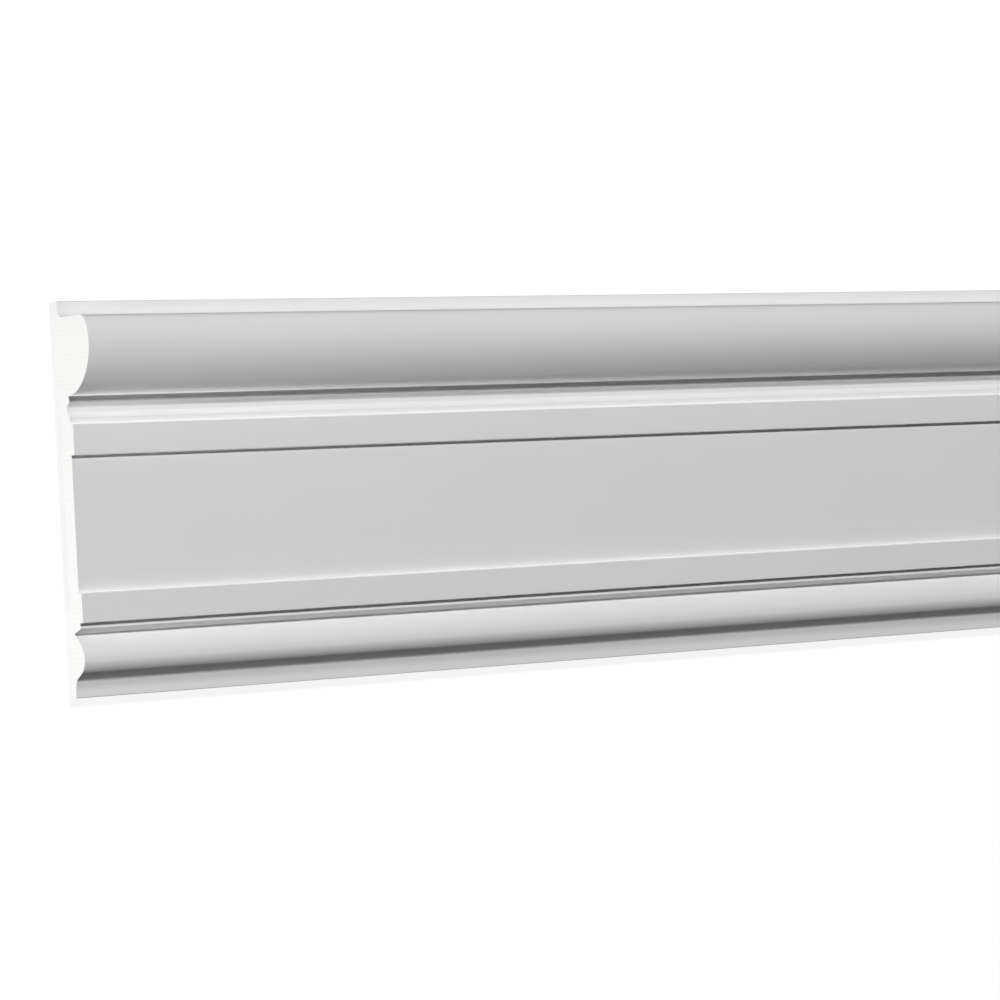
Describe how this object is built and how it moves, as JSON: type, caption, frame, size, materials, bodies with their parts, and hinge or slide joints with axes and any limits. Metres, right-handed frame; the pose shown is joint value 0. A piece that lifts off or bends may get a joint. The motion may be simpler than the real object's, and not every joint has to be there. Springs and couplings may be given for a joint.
{
  "type": "moulding",
  "caption": "Straight length of wide white wall moulding: top band and large roll over a hollow, flat fascias with raised strips, and a rounded bead along the lower edge.",
  "frame": {"origin": "centre of the box's underside, on the plane of the moulding's back", "axes": "+X along the length, +Y across the width towards the edge with the large roll, +Z out of the show face"},
  "size_m": [2, 0.2, 0.0386],
  "materials": {
    "moulding": "matt white primer on moulded rigid foam"
  },
  "bodies": {
    "root": {"moulding": "moulding"}
  },
  "joints": []
}
